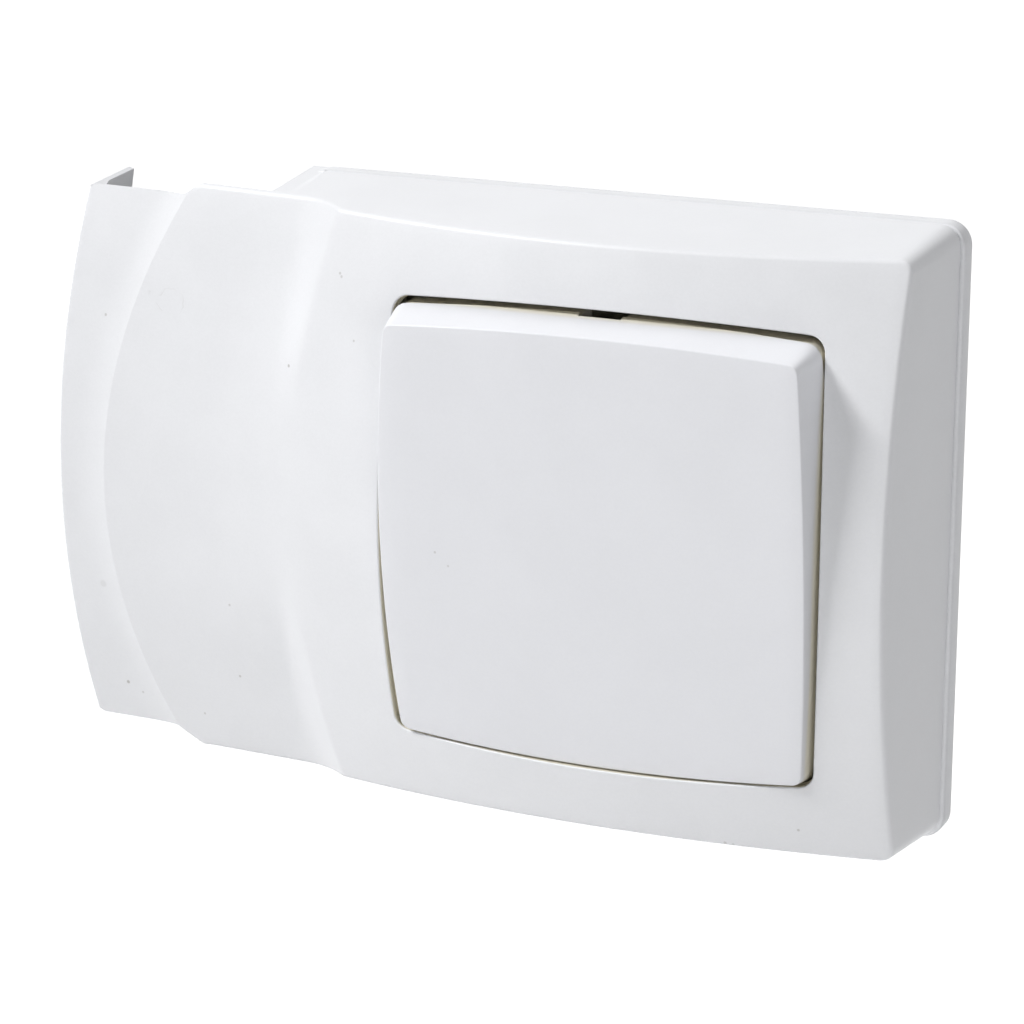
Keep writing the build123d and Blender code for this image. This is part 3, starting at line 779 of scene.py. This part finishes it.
cream = moulded_plastic("carrier_cream", tone(214, 208, 190), tone(226, 221, 205), 0.5, 0.3)
dress(cream, "carrier_plate")
grey = moulded_plastic("mechanism_grey", tone(186, 187, 186), tone(198, 199, 198), 0.5, 0.3)
dress(grey, "pivot_bracket", "switch_housing", "rocker_cradle")
slick = moulded_plastic("plunger_white", tone(212, 211, 205), tone(222, 221, 216), 0.3, 0.1)
dress(slick, "plunger")


# Metal pieces: strips and see-saw stamped from rolled brass, riveted silver contact pads, bent terminal
# cages and turned screws of zinc-plated steel, and the plunger's coil spring of drawn steel wire.
def rolled_metal(name, dull, bright, roughness, lines):
    """Metal with fine drawn lines along one way and slightly uneven tarnish."""
    material, shader, place = finish_of(name)
    shader.inputs["Metallic"].default_value = 1.0
    drawn = place.node("ShaderNodeMapping", {}, {"Vector": place, "Scale": lines}).noise(1.0, 3.0)
    tarnish = place.noise(300.0, 3.0).ramp(0.35, 0.7)
    tarnish.blend(dull, bright).feed(shader, "Base Color")
    (roughness + drawn * 0.2 - tarnish * 0.08).feed(shader, "Roughness")
    bump = {"Strength": 0.2, "Distance": 0.00002, "Height": drawn}
    place.node("ShaderNodeBump", {}, bump).feed(shader, "Normal")
    return material


brass = rolled_metal("strip_brass", tone(176, 140, 74), tone(214, 182, 112), 0.28, (600.0, 9000.0, 9000.0))
dress(brass, "contact_seesaw", "common_strip", "way_one_strip", "way_two_strip")
silver = rolled_metal("contact_silver", tone(196, 196, 192), tone(226, 226, 222), 0.22,
                      (5000.0, 5000.0, 5000.0))
dress(silver, "moving_contacts", "fixed_contacts")
zinc = rolled_metal("plated_steel", tone(168, 172, 178), tone(204, 207, 210), 0.3, (5000.0, 900.0, 5000.0))
dress(zinc, "common_cage", "way_one_cage", "way_two_cage", "clamp_screws", "carrier_screws")
wire = rolled_metal("spring_wire", tone(146, 147, 150), tone(184, 185, 188), 0.3, (9000.0, 9000.0, 1200.0))
spring_piece = smooth_copy("plunger_spring", "drive_spring")
spring_piece.data.materials.append(wire)
spring_seat, spring_foot = tuple(at(0, -0.37, 18.88)), tuple(at(0, 0.09, 14.1))
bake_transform(spring_piece)
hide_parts("plunger_spring")

# Floor: a plain pale studio floor well below the switch. For the camera and in reflections it is lifted
# to white, and it still takes the soft shadow.
FLOOR_DROP = 0.6
FLOOR_SIZE = 8.0
floor = bmesh.new()
bmesh.ops.create_grid(floor, x_segments=1, y_segments=1, size=FLOOR_SIZE,
                      matrix=Matrix.Translation((0, 0, -FLOOR_DROP)))
floor_piece = finish_mesh(floor, "studio_floor")
paper, surface, place = finish_of("floor_paper")
surface.inputs["Base Color"].default_value = tone(236, 236, 236)
surface.inputs["Roughness"].default_value = 0.9
rays = place.tree.nodes.new("ShaderNodeLightPath").outputs
seen = Shade(place.tree, rays["Is Camera Ray"])
for way in ("Is Glossy Ray", "Is Transmission Ray"):
    seen = seen.math("MAXIMUM", seen, Shade(place.tree, rays[way]))
glow = place.node("ShaderNodeEmission", {}, {"Color": (1, 1, 1, 1), "Strength": seen})
both = place.node("ShaderNodeAddShader", {}, {0: Shade(place.tree, surface.outputs[0]), 1: glow})
place.tree.links.new(both.socket, place.tree.nodes["Material Output"].inputs["Surface"])
floor_piece.data.materials.append(paper)

# Camera: where the photograph was taken from, a little to the right of the switch and above it, with a
# long lens. Angles are in degrees.
AZIMUTH = 23.765
ELEVATION = 15.363
ROLL = 0.326
CAMERA_PLACE = (0.183393, -0.46875, 0.136172)
lens = bpy.data.cameras.new("photo_camera")
lens.lens = 133.49
lens.sensor_width = 36.0
camera = bpy.data.objects.new("photo_camera", lens)
bpy.context.collection.objects.link(camera)
turn = Matrix.Rotation(math.radians(AZIMUTH), 4, "Z")
turn = turn @ Matrix.Rotation(math.radians(90 - ELEVATION), 4, "X")
turn = turn @ Matrix.Rotation(math.radians(ROLL), 4, "Z")
camera.matrix_world = Matrix.Translation(CAMERA_PLACE) @ turn
bpy.context.scene.camera = camera

# Room light: white where the camera, a reflection or glass looks at it, and a weak even light otherwise.
ROOM = 0.02
world = bpy.data.worlds.new("studio")
bpy.context.scene.world = world
world.use_nodes = True
air = world.node_tree
rays = air.nodes.new("ShaderNodeLightPath").outputs
seen = Shade(air, rays["Is Camera Ray"])
for way in ("Is Glossy Ray", "Is Transmission Ray"):
    seen = seen.math("MAXIMUM", seen, Shade(air, rays[way]))
(seen * (1 - ROOM) + ROOM).feed(air.nodes["Background"], "Strength")
air.nodes["Background"].inputs["Color"].default_value = (1, 1, 1, 1)


# Lamps: square soft boxes round the switch. The main one stands at the upper left and gives the shadow
# beside the key; the others fill from behind, from the right, from below and from the left.
BOX_SIZE = 0.45


def soft_box(name, azimuth, elevation, watts, distance=1.0):
    """A square lamp that faces the switch from a direction; azimuth is from the front to the right."""
    light = bpy.data.lights.new(name, "AREA")
    light.energy = watts
    light.size = BOX_SIZE
    a, e = math.radians(azimuth), math.radians(elevation)
    away = Vector((math.sin(a) * math.cos(e), -math.cos(a) * math.cos(e), math.sin(e)))
    lamp = bpy.data.objects.new(name, light)
    bpy.context.collection.objects.link(lamp)
    facing = away.to_track_quat("Z", "Y").to_matrix().to_4x4()
    lamp.matrix_world = Matrix.Translation(away * distance) @ facing


soft_box("main_box", -55, 43, 38.0, distance=2.0)
soft_box("back_box", 130, 65, 3.2)
soft_box("front_box", 45, 0, 2.35)
soft_box("low_front_box", 20, -34, 1.22, distance=0.8)
soft_box("left_box", -80, -10, 0.5)

bpy.context.scene.view_settings.view_transform = "Standard"
